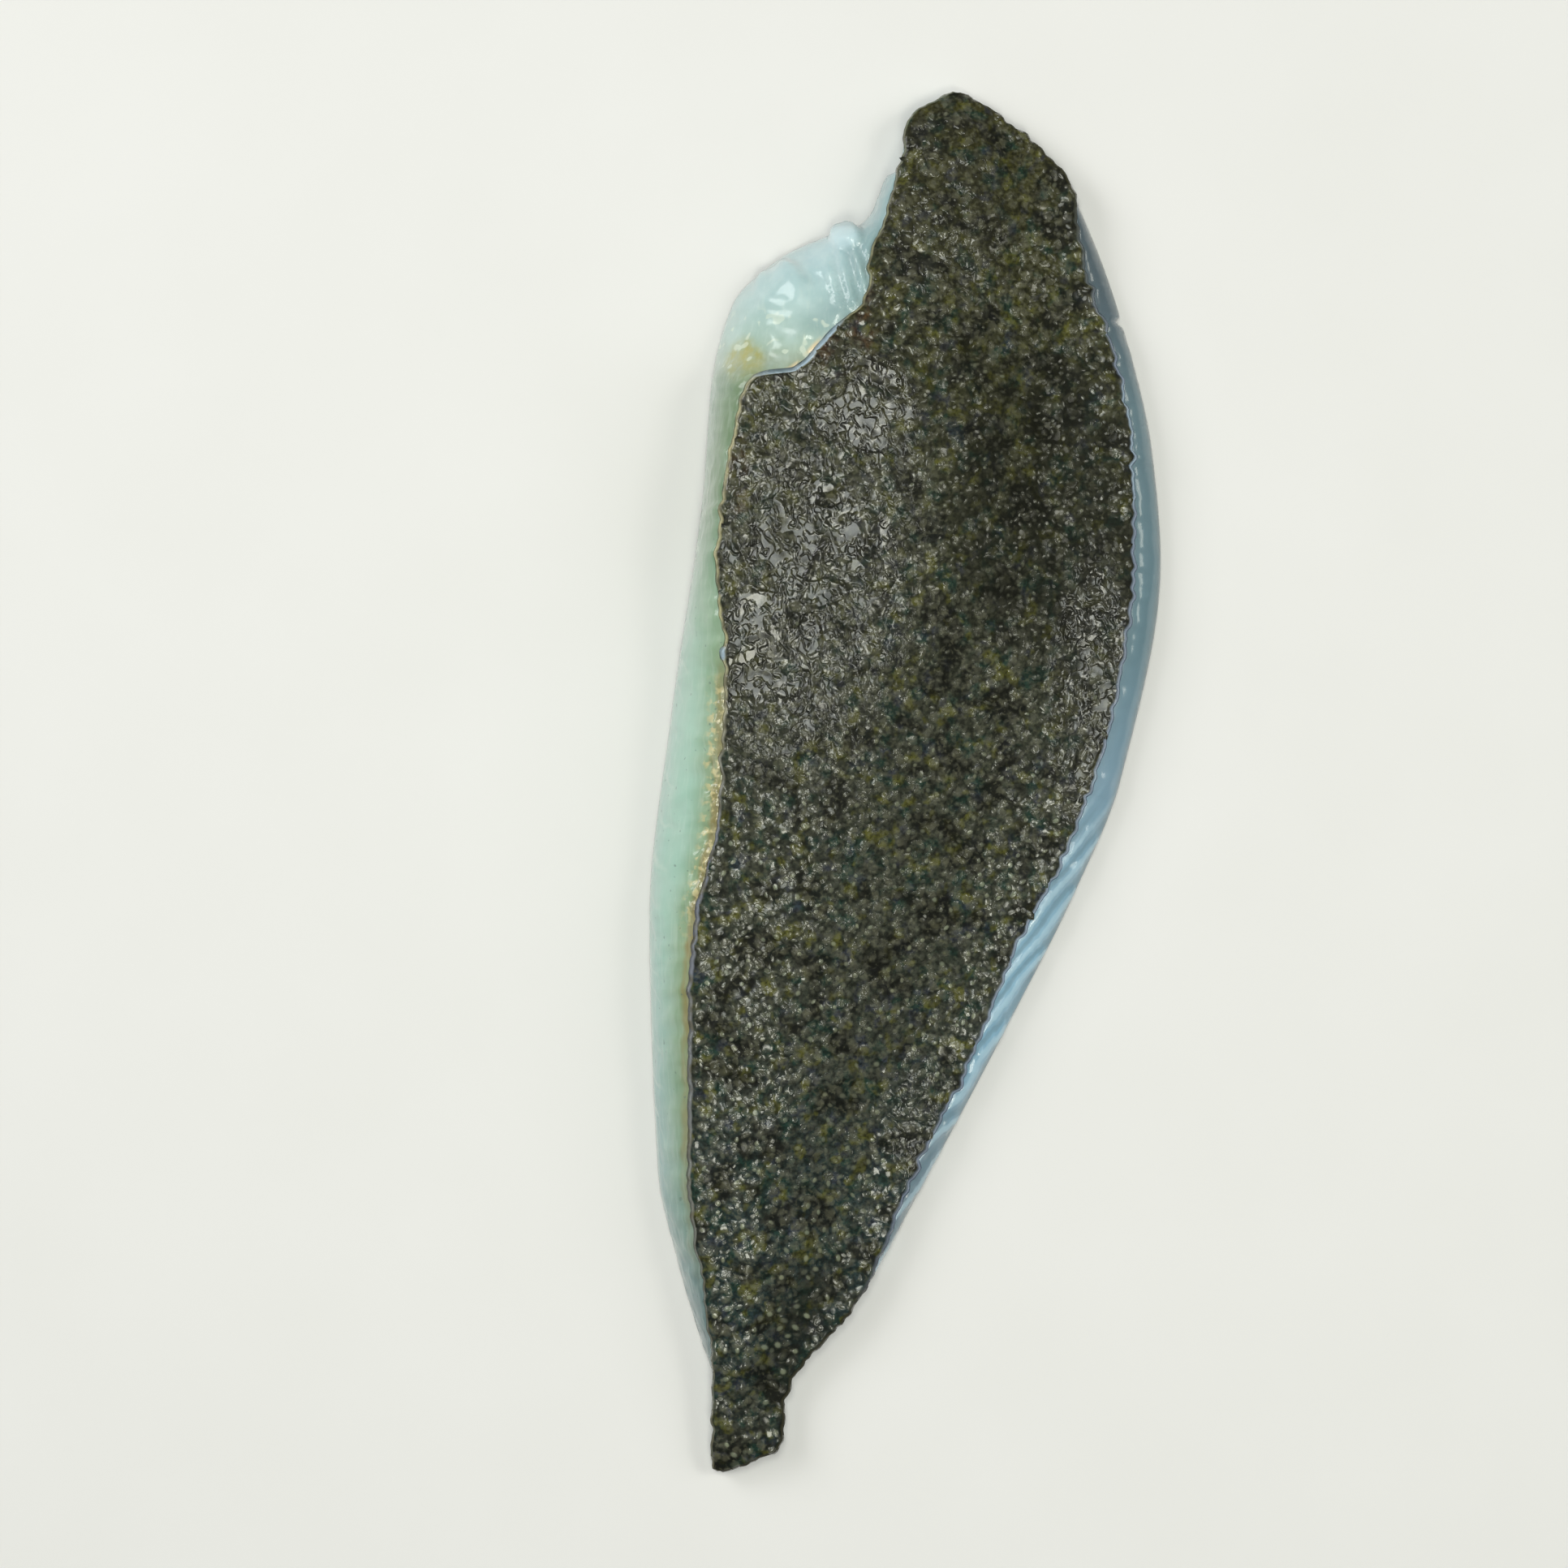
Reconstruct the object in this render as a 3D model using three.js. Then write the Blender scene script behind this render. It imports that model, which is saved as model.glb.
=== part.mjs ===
// Skin-on turbot fillet, lying skin side up: a wedge of pale flesh, thick along its backbone cut and
// thin along its fin edge, under a sheet of skin that stops short of the flesh on both long sides.
// Millimetres. +Y runs from tail to head, +X from the backbone cut to the fin edge, +Z is up, and
// the flat underside lies on Z = 0.
import * as THREE from "three";

// Driving sizes
const LENGTH = 300;
const SKIN_THICKNESS = 1.2;
const SKIN_CLEARANCE = 0.3; // air between the flesh and the skin that lies on it

// Outlines seen from above, as [y, x] from tail to head
const BACKBONE_TOE = [
  [-150, -42.1], [-129.8, -42.1], [-121.5, -44.8], [-106.7, -49.2], [-84.4, -54.1],
  [-29.3, -55.9], [15, -51.1], [63.3, -44.2], [87.6, -42.3], [104.5, -37.7],
  [114.9, -27.0], [120.7, -14.0], [122.2, -9.6], [125.2, -7.1], [132.3, -4.0],
  [133.3, -1.7], [144.3, 0.8], [150, 8.9],
];
const FIN_TOE = [
  [-150, -39.0], [-145.7, -28.8], [-143.4, -26.8], [-134.9, -26.5], [-112.1, -9.8],
  [-86, 4.9], [-50.6, 23.7], [-24, 37.1], [0.8, 47.2], [48.6, 55.9],
  [71.7, 54.1], [101.8, 47.0], [122.2, 39.6], [133.7, 33.6], [144.3, 21.4], [150, 13.4],
];
const SKIN_BACKBONE_EDGE = [
  [-150, -42.1], [-129.8, -41.8], [-108.9, -43.9], [-86, -46.8], [-60, -46.5],
  [-41.7, -46.3], [-25.8, -44.4], [-6.3, -40.3], [25.6, -39.1], [46.9, -41.0],
  [64.6, -39.1], [84.1, -35.2], [87.3, -32.9], [88.7, -24.0], [93.7, -18.7],
  [100.9, -12.3], [103.2, -9.1], [112.4, -7.7], [127.5, -2.9], [144.3, 0.8], [150, 8.9],
];
const SKIN_FIN_EDGE = [
  [-150, -39.0], [-145.7, -28.8], [-143.4, -26.8], [-134.9, -26.5], [-112.1, -9.8],
  [-85.3, 1.7], [-61, 13.8], [-36.4, 23.8], [-15.2, 34.8], [0.8, 41.0],
  [20.3, 46.2], [48.6, 49.7], [71.7, 49.4], [93.8, 45.1], [105.9, 40.8],
  [113.8, 38.6], [122.7, 37.0], [128.4, 36.8], [133.7, 33.6], [144.3, 21.4], [150, 13.4],
];

// Height of the flesh along the length, as [y, z], over its thick side and over its thin side
const THICK_SIDE_HEIGHT = [
  [-150, 2.6], [-143, 4.8], [-120, 8.2], [-100, 10.8], [-30, 17.6],
  [40, 19.6], [85, 18.4], [110, 15.2], [130, 10.5], [144, 6.4], [150, 3.4],
];
const THIN_SIDE_HEIGHT = [
  [-150, 2.4], [-143, 3.6], [-100, 4.0], [-30, 5.0], [60, 5.6], [110, 5.2], [144, 4.4], [150, 2.6],
];

// Section across the fillet, in shares of its width: level, then an S-shaped fall to the thin side.
// The level share grows along the length, as [y, share].
const LEVEL_SHARE = [[-150, 0.24], [-10, 0.26], [50, 0.34], [85, 0.42], [150, 0.42]];
const FALL_END_SHARE = 0.93;
const CUT_FACE_BULGE = { across: 1.8, up: 1.4 }; // powers of the rounded backbone cut face
const FIN_RIM_BULGE = { across: 2.0, up: 1.7 };

// Steps of the mesh
const ROWS = 84;
const ROW_CROWDING = 0.35; // how strongly the rows crowd towards the two ends
const CUT_FACE_STEPS = 6;
const SKIN_STEPS = 13;
const FIN_RIM_STEPS = 5;

// A smooth curve through points that never overshoots them.
function curveThrough(points) {
  const last = points.length - 1;
  const secants = [];
  for (let i = 0; i < last; i += 1) {
    secants.push((points[i + 1][1] - points[i][1]) / (points[i + 1][0] - points[i][0]));
  }
  const tangents = points.map((_, i) => {
    if (i === 0) return secants[0];
    if (i === last) return secants[last - 1];
    const before = secants[i - 1];
    const after = secants[i];
    return before * after <= 0 ? 0 : (2 * before * after) / (before + after);
  });
  return (place) => {
    let i = 0;
    while (i < last - 1 && place > points[i + 1][0]) i += 1;
    const span = points[i + 1][0] - points[i][0];
    const t = THREE.MathUtils.clamp((place - points[i][0]) / span, 0, 1);
    const startWeight = (1 + 2 * t) * (1 - t) ** 2;
    const endWeight = t * t * (3 - 2 * t);
    const startPull = t * (1 - t) ** 2 * span * tangents[i];
    const endPull = t * t * (t - 1) * span * tangents[i + 1];
    return startWeight * points[i][1] + startPull + endWeight * points[i + 1][1] + endPull;
  };
}

const backboneToe = curveThrough(BACKBONE_TOE);
const finToe = curveThrough(FIN_TOE);
const skinBackboneEdge = curveThrough(SKIN_BACKBONE_EDGE);
const skinFinEdge = curveThrough(SKIN_FIN_EDGE);
const thickSideHeight = curveThrough(THICK_SIDE_HEIGHT);
const thinSideHeight = curveThrough(THIN_SIDE_HEIGHT);
const levelShare = curveThrough(LEVEL_SHARE);

// Where the two toes and the two skin edges stand at one place along the length.
function edgesAt(y) {
  const toeLeft = backboneToe(y);
  const toeRight = finToe(y);
  return {
    toeLeft,
    toeRight,
    skinLeft: Math.max(skinBackboneEdge(y), toeLeft),
    skinRight: Math.min(skinFinEdge(y), toeRight),
  };
}

// Height of the flesh at a point of its upper side.
function fleshHeight(x, y) {
  const { toeLeft, toeRight } = edgesAt(y);
  const across = (x - toeLeft) / (toeRight - toeLeft);
  const fall = THREE.MathUtils.smootherstep(across, levelShare(y), FALL_END_SHARE);
  return THREE.MathUtils.lerp(thickSideHeight(y), thinSideHeight(y), fall);
}

// A rounded side from a toe on the ground up to an edge of the skin: share 0 is the toe, 1 the edge.
function roundedSide(toeX, edgeX, edgeHeight, share, y, bulge) {
  const angle = (share * Math.PI) / 2;
  const across = 1 - Math.cos(angle) ** (2 / bulge.across);
  const up = Math.sin(angle) ** (2 / bulge.up);
  return new THREE.Vector3(THREE.MathUtils.lerp(toeX, edgeX, across), y, edgeHeight * up);
}

// Points of the flesh under the skin, from the backbone edge to the fin edge, lifted by some height.
function skinRow(y, lift) {
  const { skinLeft, skinRight } = edgesAt(y);
  const row = [];
  for (let i = 0; i <= SKIN_STEPS; i += 1) {
    const x = THREE.MathUtils.lerp(skinLeft, skinRight, i / SKIN_STEPS);
    row.push(new THREE.Vector3(x, y, fleshHeight(x, y) + lift));
  }
  return row;
}

// Closed section of the flesh: up the backbone cut, across under the skin, down the fin rim.
function fleshSection(y) {
  const { toeLeft, toeRight } = edgesAt(y);
  const top = skinRow(y, 0);
  const left = top[0];
  const right = top[SKIN_STEPS];
  const section = [];
  for (let i = 0; i < CUT_FACE_STEPS; i += 1) {
    section.push(roundedSide(toeLeft, left.x, left.z, i / CUT_FACE_STEPS, y, CUT_FACE_BULGE));
  }
  section.push(...top);
  for (let i = FIN_RIM_STEPS - 1; i >= 0; i -= 1) {
    section.push(roundedSide(toeRight, right.x, right.z, i / FIN_RIM_STEPS, y, FIN_RIM_BULGE));
  }
  return section;
}

// Closed section of the skin: its outer face, then its inner face back again.
function skinSection(y) {
  const outer = skinRow(y, SKIN_CLEARANCE + SKIN_THICKNESS);
  const inner = skinRow(y, SKIN_CLEARANCE);
  return [...outer, ...inner.reverse()];
}

// Places along the length, from tail to head.
function rowPlaces() {
  const places = [];
  for (let i = 0; i <= ROWS; i += 1) {
    const even = (2 * i) / ROWS - 1;
    const crowded = Math.sin((even * Math.PI) / 2);
    places.push((LENGTH / 2) * THREE.MathUtils.lerp(even, crowded, ROW_CROWDING));
  }
  return places;
}

// A closed solid through sections of equal length, with a fan of triangles over each end. Each
// four-sided patch is split along its shorter diagonal, so that sheets that run side by side match.
function loft(sections) {
  const size = sections[0].length;
  const points = sections.flat();
  const faces = [];
  for (let row = 0; row < sections.length - 1; row += 1) {
    for (let i = 0; i < size; i += 1) {
      const next = (i + 1) % size;
      const a = row * size + i;
      const b = row * size + next;
      const c = a + size;
      const d = b + size;
      const crossesShorter = points[b].distanceTo(points[c]) < points[a].distanceTo(points[d]);
      faces.push(...(crossesShorter ? [a, b, c, b, d, c] : [a, b, d, a, d, c]));
    }
  }
  const lastRow = (sections.length - 1) * size;
  for (const [start, section, atHead] of [[0, sections[0], false], [lastRow, sections.at(-1), true]]) {
    const middle = new THREE.Vector3();
    section.forEach((point) => middle.addScaledVector(point, 1 / size));
    const centre = points.push(middle) - 1;
    for (let i = 0; i < size; i += 1) {
      const a = start + i;
      const b = start + ((i + 1) % size);
      faces.push(centre, ...(atHead ? [a, b] : [b, a]));
    }
  }
  const geometry = new THREE.BufferGeometry().setFromPoints(points);
  geometry.setIndex(faces);
  geometry.computeVertexNormals();
  return geometry;
}

function fleshMesh(places) {
  const material = new THREE.MeshStandardMaterial({ color: 0xadcbb9, roughness: 0.3, metalness: 0 });
  const mesh = new THREE.Mesh(loft(places.map(fleshSection)), material);
  mesh.name = "flesh";
  return mesh;
}

function skinMesh(places) {
  const material = new THREE.MeshStandardMaterial({ color: 0x414439, roughness: 0.25, metalness: 0 });
  const mesh = new THREE.Mesh(loft(places.map(skinSection)), material);
  mesh.name = "skin";
  return mesh;
}

const places = rowPlaces();
const fillet = new THREE.Group();
fillet.add(fleshMesh(places), skinMesh(places));

export default fillet;
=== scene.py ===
import bpy
import numpy as np
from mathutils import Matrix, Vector


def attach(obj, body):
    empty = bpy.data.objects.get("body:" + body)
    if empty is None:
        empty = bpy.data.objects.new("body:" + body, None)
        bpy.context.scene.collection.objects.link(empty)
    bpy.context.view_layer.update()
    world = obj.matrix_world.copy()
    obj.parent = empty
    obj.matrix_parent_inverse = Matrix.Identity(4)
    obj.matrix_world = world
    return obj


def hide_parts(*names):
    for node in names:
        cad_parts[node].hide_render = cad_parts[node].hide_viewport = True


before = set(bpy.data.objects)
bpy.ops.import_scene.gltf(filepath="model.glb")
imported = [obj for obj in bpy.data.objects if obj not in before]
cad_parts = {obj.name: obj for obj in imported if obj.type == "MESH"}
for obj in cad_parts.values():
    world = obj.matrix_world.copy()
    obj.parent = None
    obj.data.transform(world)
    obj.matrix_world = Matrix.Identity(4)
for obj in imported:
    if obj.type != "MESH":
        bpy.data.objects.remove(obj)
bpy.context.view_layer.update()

# A skin-on turbot fillet lying skin side up: pale moist flesh under dark, wet, pebbled skin.
# Shapes are worked out in millimetres, with +Y from tail to head and +X from the backbone cut to the
# fin edge, and turned into metres when a mesh is made.
MM = 0.001
HALF_LENGTH = 150

# Outlines seen from above, as (y, x) from tail to head
BACKBONE_TOE = (
    (-150, -42.1), (-129.8, -42.1), (-121.5, -44.8), (-106.7, -49.2), (-84.4, -54.1),
    (-29.3, -55.9), (15, -51.1), (63.3, -44.2), (87.6, -42.3), (104.5, -37.7),
    (114.9, -27.0), (120.7, -14.0), (122.2, -9.6), (125.2, -7.1), (132.3, -4.0),
    (133.3, -1.7), (144.3, 0.8), (150, 8.9),
)
FIN_TOE = (
    (-150, -39.0), (-145.7, -28.8), (-143.4, -26.8), (-134.9, -26.5), (-112.1, -9.8),
    (-86, 4.9), (-50.6, 23.7), (-24, 37.1), (0.8, 47.2), (48.6, 55.9),
    (71.7, 54.1), (101.8, 47.0), (122.2, 39.6), (133.7, 33.6), (144.3, 21.4), (150, 13.4),
)
SKIN_BACKBONE_EDGE = (
    (-150, -42.1), (-129.8, -41.8), (-108.9, -43.9), (-86, -46.8), (-60, -46.5),
    (-41.7, -46.3), (-25.8, -44.4), (-6.3, -40.3), (25.6, -39.1), (46.9, -41.0),
    (64.6, -39.1), (84.1, -35.2), (87.3, -32.9), (88.7, -24.0), (93.7, -18.7),
    (100.9, -12.3), (103.2, -9.1), (112.4, -7.7), (127.5, -2.9), (144.3, 0.8), (150, 8.9),
)
SKIN_FIN_EDGE = (
    (-150, -39.0), (-145.7, -28.8), (-143.4, -26.8), (-134.9, -26.5), (-112.1, -9.8),
    (-85.3, 1.7), (-61, 13.8), (-36.4, 23.8), (-15.2, 34.8), (0.8, 41.0),
    (20.3, 46.2), (48.6, 49.7), (71.7, 49.4), (93.8, 45.1), (105.9, 40.8),
    (113.8, 38.6), (122.7, 37.0), (128.4, 36.8), (133.7, 33.6), (144.3, 21.4), (150, 13.4),
)
HEAD_TIP = (11.2, 148.8)  # where the rounding of the head end starts
HEAD_TIP_REACH = 1.4
TAIL_TIP = (-40.4, -148.5)
TAIL_TIP_REACH = 1.5

# Height of the flesh along the length, as (y, z), over its thick side and over its thin side
THICK_SIDE_HEIGHT = (
    (-150, 2.6), (-143, 4.8), (-120, 8.2), (-100, 10.8), (-30, 17.6),
    (40, 19.6), (85, 18.4), (110, 15.2), (130, 10.5), (144, 6.4), (150, 3.4),
)
THIN_SIDE_HEIGHT = (
    (-150, 2.4), (-143, 3.6), (-100, 4.0), (-30, 5.0), (60, 5.6), (110, 5.2), (144, 4.4), (150, 2.6),
)

# Section across the fillet, in shares of its width: level, then an S-shaped fall to the thin side.
# The level share grows along the length, as (y, share).
LEVEL_SHARE = ((-150, 0.24), (-10, 0.26), (50, 0.34), (85, 0.42), (150, 0.42))
FALL_END_SHARE = 0.93
CUT_FACE_BULGE = (1.8, 1.4)  # powers of the rounded backbone cut face, across and up
FIN_RIM_BULGE = (2.0, 1.7)
SURFACE_WAVE = 0.2  # height of the broad waves of the upper side

# Relief of the nape, as (middle, radii, height), and of the cut face
NAPE_FOLDS = ((-12.5, 109.5), (7, 9), 0.55)
FOLD_PITCH = 3.2
FOLD_DIRECTION = (0.97, 0.25)
FOLD_OFFSET = 11.4
NAPE_SWELLING = ((-27, 108), (7, 7.5), 1.4)
SWELLING_UNEVENNESS = 0.25
NAPE_LUMP = ((-12.9, 118.6), (4.2, 3.8), 2.0)
NAPE_ROUGHNESS = 0.05
FIBRE_RELIEF = 0.04
FACE_SWELL_RELIEF = 0.1
FAT_CRUMB_HEIGHT = 0.3
FAT_REACH = (2.0, 5.0)  # distance from the skin where the fat thins out and ends
FAT_START = (-40, -20)  # along the length, where it begins and is full
FAT_END = (16, 26)

# Relief of the fin rim and of the underside
RIM_BAND_HEIGHT = 0.22
RIM_BAND_PITCH = 3.4
RIM_BAND_DIRECTION = (0.78, -0.63)
RIM_BAND_START = (-12, 25)  # as -y, where the bands begin and are full
RIM_SWELL_RELIEF = 0.06
NICK_PLACE = 100.6  # small cut into the fin rim
NICK_DEPTH = 1.2
NICK_WIDTH = 0.8
MUSCLE_PITCH = 8.0  # length of a muscle segment
MUSCLE_BEND = 40  # how far the grooves curve along the length
MUSCLE_WAVER = 1.6
GROOVE_DEPTH = 0.55
GROOVE_WIDTH = 0.28  # as the sine of the place in a segment
MIDDLE_LINE_SHARE = 0.42
MIDDLE_LINE_WIDTH = 0.03
MIDDLE_LINE_DEPTH = 0.7

# Skin over the flesh, and its relief: height when wet, and what dryness adds
SKIN_LIFT = 1.5
SKIN_BACK_LIFT = 0.05
SKIN_FOOT_SINK = 0.12
PEBBLE_RELIEF = (0.004, 0.02)
LUMP_RELIEF = (0.012, 0.048)
SWELL_RELIEF = 0.05
RELIEF_GAIN = 2.5  # relief as a share for the materials

# Edges of the skin
FINE_RAGGEDNESS = 0.14  # of the backbone edge
BROAD_RAGGEDNESS = 0.2
FIN_RAGGEDNESS = 0.24
EDGE_ROLL = 0.35  # how far it rolls down, and how wide the roll is
EDGE_ROLL_WIDTH = 0.7
EDGE_RELIEF_SHARE = 0.25  # what is left of the relief at the edge
EDGE_RELIEF_WIDTH = 1.2
BACKBONE_SLANT = 0.35  # how far out the foot stands, and what bared and torn places add
BARED_SLANT = 0.4
TORN_SLANT = 0.65
FIN_SLANT = 0.4
BARED_START = (-105, -90)
BARED_END = (-30, -10)
BACKBONE_TINT_WIDTH = 0.25  # how wide the tone of the cut edge runs onto the top
FIN_TINT_WIDTH = 0.6

# Soft patches seen from above, as (middle, radii, strength)
WET_PATCHES = (
    ((-25, 52), (37, 66), 0.42), ((-10, 81), (15, 14), 1), ((-21, 51), (18, 19), 1),
    ((-30, 29), (16, 18), 1), ((41, 16), (12, 42), 0.75), ((3, -76), (9, 20), 0.3),
    ((9, 124), (20, 30), 0.3),
)
RUST_PATCHES = (((-14, 99), (10, 16), 1), ((-37, 66), (4, 14), 0.7))
# Patches where shade is painted on the skin: the fall to the fin side, the tail and above the middle
PAINTED_SHADE_PATCHES = (((32, 60), (30, 46), 1), ((-22, -128), (11, 30), 1), ((9, 86), (16, 18), 0.5))
TORN_PATCHES = (((-22, 92), (16, 12), 1), ((-40.2, 27.7), (2, 2), 1))
CLEAN_EDGE_PATCH = ((-22, 92), (22, 18), 0.8)
STAIN_PATCH = ((-35, 90), (5.5, 8), 1)
# where a highlight is painted on the nape's lump
LUMP_HIGHLIGHT_PATCH = ((-13.5, 118.3), (4, 3.5), 1)
WET_MEAN = 1.1  # mean and deviation of the strength within a patch
PAINTED_SHADE_MEAN = 0.8
PATCH_UNEVENNESS = 0.3
NAPE_START = (84, 93)  # where the nape's colours begin and are full
NO_EDGE_GAP = 20  # distance given where no skin edge is near

# Pebbles of the skin: the height is a share of the width
GRANULES = {
    "seed": 201, "spacing": 2.1, "margin": 0.9, "width": (1.2, 2.1), "height": (0.03, 0.07),
    "stretch": 1.5, "sides": 6, "rings": (1.0, 0.6),
}
TUBERCLES = {
    "seed": 202, "spacing": 3.0, "margin": 1.4, "width": (1.5, 2.2), "height": (0.05, 0.1),
    "stretch": 1.3, "sides": 8, "rings": (1.0, 0.66, 0.33),
}
PEBBLE_ROW_PITCH = 0.866  # rows of the triangular grid, in spacings
PEBBLE_SHAKE = 0.42
PEBBLE_HALF_WIDTH = 60
PEBBLE_END_MARGIN = 1.5
PEBBLE_SINK = 0.03
PEBBLE_POWER = 1.5  # of the dome's profile

# Mesh steps: rows run from these places on the backbone side to these on the fin side, so that they
# meet the notch at an angle, with these shares of the rows between one place and the next
BACKBONE_PLACES = (-150, 84, 133.2, 150)
FIN_PLACES = (-150, 56, 128, 150)
ROW_SHARES = (0.68, 0.23, 0.09)
EDGE_SAMPLES = 4000
SKIN_ROWS = 620
SKIN_COLUMNS = 140
SKIN_BACK_COLUMNS = 15
FLESH_ROWS = 520
CUT_FACE_COLUMNS = 30
HIDDEN_COLUMNS = 15
FIN_RIM_COLUMNS = 18
UNDERSIDE_COLUMNS = 44

# Seeded noise over the plan: seed and size of its features
FIELD_HALF_WIDTH = 64
FIELD_HALF_LENGTH = 156
FIELD_STEP = 0.25
WAVE_NOISE = (101, 26)
PEBBLE_NOISE = (102, 2.3)
LUMP_NOISE = (103, 4.2)
SWELL_NOISE = (104, 9)
EDGE_NOISE = (105, 5.0)
WET_NOISE = (106, 12)
FIBRE_NOISE = (107, 1.4)
FAT_NOISE = (108, 2.2)

# Colours of the skin as a display shows them, 0 to 255. Ramps run along the fillet, from 0 at the tail
# to 1 at the head.
SKIN_TONES = (
    (0.0, (36, 37, 28)), (0.1, (34, 50, 50)), (0.2, (43, 56, 55)), (0.33, (54, 59, 50)),
    (0.6, (57, 60, 48)), (0.8, (62, 63, 40)), (1.0, (58, 57, 29)),
)
SKIN_GREYNESS = ((0.7, 0.5), (0.95, 0.2))
SKIN_PALE = (86, 87, 74)
SKIN_MOTTLES = (  # teal, slate and olive: tone, size, shift, where it starts and is full, strength
    ((28, 56, 48), 4.4, 0.31, 0.5, 0.66, 0.8),
    ((52, 56, 74), 3.6, 0.57, 0.55, 0.7, 0.55),
    ((90, 90, 36), 3.8, 0.83, 0.53, 0.68, 0.8),
)
SKIN_BARE = (21, 22, 17)
SKIN_RUST = (84, 50, 28)
SKIN_WET = (34, 34, 21)
# Painted highlight on lump heights; dark and light tones for fine mottling, painted shade between
# pebbles and painted highlight on their tops
SKIN_LUMP_HIGHLIGHT = (88, 88, 76)
SKIN_DARK_AND_SHADE = (14, 15, 11)
SKIN_LIGHT_AND_HIGHLIGHT = (108, 108, 88)
# painted shade
SKIN_PAINTED_SHADE = (21, 22, 15)
BACKBONE_EDGE_TONES = (
    (0.0, (96, 100, 88)), (0.2, (116, 118, 112)), (0.45, (122, 128, 144)),
    (0.6, (176, 172, 132)), (0.75, (186, 180, 140)), (0.96, (110, 116, 96)),
)
FADED_EDGE = (96, 92, 74)
FIN_EDGE_TONES = (
    (0.12, (54, 53, 40)), (0.2, (128, 140, 160)), (0.4, (154, 168, 186)),
    (0.8, (138, 150, 170)), (0.87, (100, 108, 110)), (0.93, (56, 55, 36)),
)
TORN_EDGE = (168, 190, 206)
PEBBLE_TIP = (100, 101, 84)
PALE_PEBBLE_TONES = ((150, 170, 150), (176, 172, 132))

# Colours of the flesh
# Colours of the cut face along the fillet; the darker stops at 0.7 and 0.78 are painted shade on the
# face below the notch
FACE_TONES = (
    (0.06, (92, 112, 118)), (0.14, (106, 132, 136)), (0.22, (130, 165, 163)), (0.4, (152, 192, 176)),
    (0.54, (160, 197, 180)), (0.63, (140, 176, 156)), (0.7, (104, 134, 110)), (0.78, (104, 134, 110)),
    (0.95, (146, 174, 180)),
)
OUTER_FACE_TONES = (
    (0.14, (104, 126, 138)), (0.22, (138, 166, 172)), (0.45, (164, 195, 192)),
    (0.55, (168, 198, 194)), (0.7, (134, 160, 148)),
)
FACE_FOOT = (168, 182, 174)
FACE_LINES = (212, 222, 210)
FACE_LINE_COUNT = 36  # along the whole fillet
FACE_WARM = (126, 140, 86)
FACE_WARMTH = (
    (0.13, 0.05), (0.2, 0.35), (0.26, 0.65), (0.5, 0.8), (0.58, 0.55), (0.66, 0.2), (0.8, 0.35),
)
FACE_SPECKS = (92, 112, 106)
FAT_LINE = (140, 122, 70)
FAT_LINE_STRENGTH = ((0.13, 0.05), (0.2, 0.4), (0.4, 0.85), (0.56, 0.7), (0.6, 0.0))
FAT_CRUMBS = (204, 192, 142)
NAPE_TONES = (
    (0.79, (146, 160, 134)), (0.803, (154, 168, 148)), (0.815, (162, 186, 171)), (0.83, (168, 195, 188)),
    (0.85, (176, 204, 204)), (0.9, (174, 202, 210)), (0.925, (168, 195, 204)), (0.94, (148, 176, 186)),
)
NAPE_CLOUDS = (206, 226, 226)
NAPE_FOOT = (190, 202, 198)
# painted shade next to the skin edge
NAPE_SHADE_BY_SKIN = (132, 161, 163)
# painted highlight on the nape's lump
NAPE_LUMP_HIGHLIGHT = (204, 228, 234)
NAPE_STAIN = (168, 166, 98)
NAPE_SPOTS = (220, 230, 212)
NAPE_CREAM = (222, 204, 164)
RIM_TONES = (
    (0.1, (100, 112, 122)), (0.23, (124, 146, 159)), (0.3, (138, 179, 202)), (0.38, (142, 182, 204)),
    (0.5, (130, 160, 178)), (0.6, (106, 135, 146)), (0.77, (105, 130, 139)), (0.84, (88, 105, 114)),
    (0.92, (82, 95, 102)),
)
# painted shade at the rim's foot, and painted highlight and shade on the bands' ridges and grooves
RIM_FOOT_SHADE = (98, 112, 114)
RIM_BAND_LIGHT = (196, 224, 236)
RIM_BAND_SHADE = (108, 136, 148)
FLESH_CLOUDS = (200, 218, 204)
FLESH_FIBRES = (215, 230, 220)
UNDERSIDE_TONES = ((186, 202, 180), (212, 222, 204))

# Small relief in the materials, in millimetres. Profiles run from 0 on dry skin to 1 in standing water.
SKIN_CELL_SIZE = 2.5
SKIN_CELL_WARP = 2.6
SKIN_CELL_HEIGHT = 0.27
CELL_REACH = 0.6  # half the width of a cell, in cell sizes
TAIL_CALM = ((0.1, 0.5), (0.28, 1.0))  # share of the pebbles' height along the fillet
WRINKLE_DEPTH = ((0.0, 0.2), (0.45, 0.8), (0.7, 0.5), (0.9, 0.08), (1.0, 0.055))
CREASE_DEPTH = ((0.0, 0.0), (0.4, 0.1), (0.75, 0.2), (0.95, 0.14))
FIBRE_BUMP = 0.04

# Camera
FRAME_WIDTH = 342.4  # width of the view at the fillet
VIEW_CENTRE = (-26.5, -0.3)
LENS = 120
SENSOR = 36
VIEW_PLANE_HEIGHT = 2

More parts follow.
